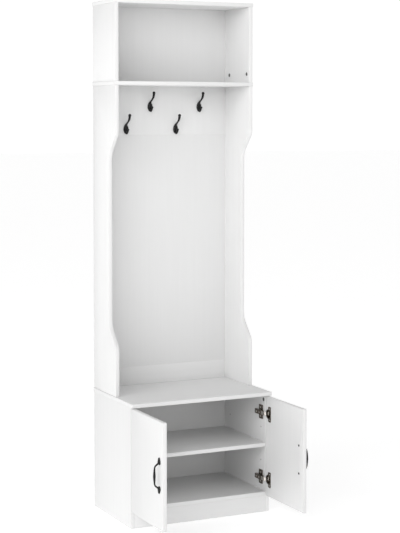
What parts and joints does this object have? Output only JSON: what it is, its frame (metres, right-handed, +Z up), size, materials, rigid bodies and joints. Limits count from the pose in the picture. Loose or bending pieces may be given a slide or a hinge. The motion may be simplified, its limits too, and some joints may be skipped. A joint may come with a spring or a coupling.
{
  "type": "hall tree",
  "caption": "Tall narrow hall stand: two-door shoe cupboard with bench top, open coat bay with scooped sides and double hooks, and an open cubby on top.",
  "frame": {"origin": "on the floor, under the centre of the overall box with both doors open at a right angle", "axes": "+Z up, +X to the right of a person facing the front, -Y out of the front, +Y into the wall"},
  "size_m": [0.6448, 0.673, 2.017],
  "materials": {
    "white_board": "matte white laminate",
    "black_metal": "satin",
    "hinge_steel": "satin nickel",
    "screw_steel": "zinc plated",
    "cast_zinc": "as cast",
    "glide_plastic": "matte",
    "beech": "plain"
  },
  "bodies": {
    "case": {"base_left_side": "white_board", "base_right_side": "white_board", "bottom_board": "white_board", "front_plinth": "white_board", "rear_plinth": "white_board", "base_back": "white_board", "adjustable_shelf": "white_board", "bench_top": "white_board", "bay_left_side": "white_board", "bay_right_side": "white_board", "lower_back_rail": "white_board", "bay_back": "white_board", "hook_board": "white_board", "middle_shelf": "white_board", "cubby_left_side": "white_board", "cubby_right_side": "white_board", "cubby_back": "white_board", "top_board": "white_board", "left_upper_hinge_arm": "hinge_steel", "left_upper_mounting_plate": "hinge_steel", "left_lower_hinge_arm": "hinge_steel", "left_lower_mounting_plate": "hinge_steel", "right_upper_hinge_arm": "hinge_steel", "right_upper_mounting_plate": "hinge_steel", "right_lower_hinge_arm": "hinge_steel", "right_lower_mounting_plate": "hinge_steel", "plate_screws": "screw_steel", "arm_screws": "screw_steel", "coat_hook_1": "black_metal", "coat_hook_2": "black_metal", "coat_hook_3": "black_metal", "coat_hook_4": "black_metal", "hook_screws": "screw_steel", "shelf_pins": "screw_steel", "floor_glides": "glide_plastic", "cam_locks": "cast_zinc", "cam_bolts": "screw_steel", "dowels": "beech", "case_screws": "screw_steel"},
    "left_door_leaf": {"left_door": "white_board", "left_handle": "black_metal", "left_handle_screws": "screw_steel", "left_hinge_pins": "screw_steel", "left_cup_screws": "screw_steel", "left_upper_hinge_cup": "hinge_steel", "left_lower_hinge_cup": "hinge_steel"},
    "right_door_leaf": {"right_door": "white_board", "right_handle": "black_metal", "right_handle_screws": "screw_steel", "right_hinge_pins": "screw_steel", "right_cup_screws": "screw_steel", "right_upper_hinge_cup": "hinge_steel", "right_lower_hinge_cup": "hinge_steel"}
  },
  "joints": [
    {"name": "left_door_hinge", "type": "hinge", "parent": "case", "child": "left_door_leaf", "pos_m": [-0.28925, -0.04925, 0.265], "axis": [0, 0, -1], "range_deg": [-90, 5]},
    {"name": "right_door_hinge", "type": "hinge", "parent": "case", "child": "right_door_leaf", "pos_m": [0.28925, -0.04925, 0.265], "axis": [0, 0, 1], "range_deg": [-90, 5]}
  ]
}
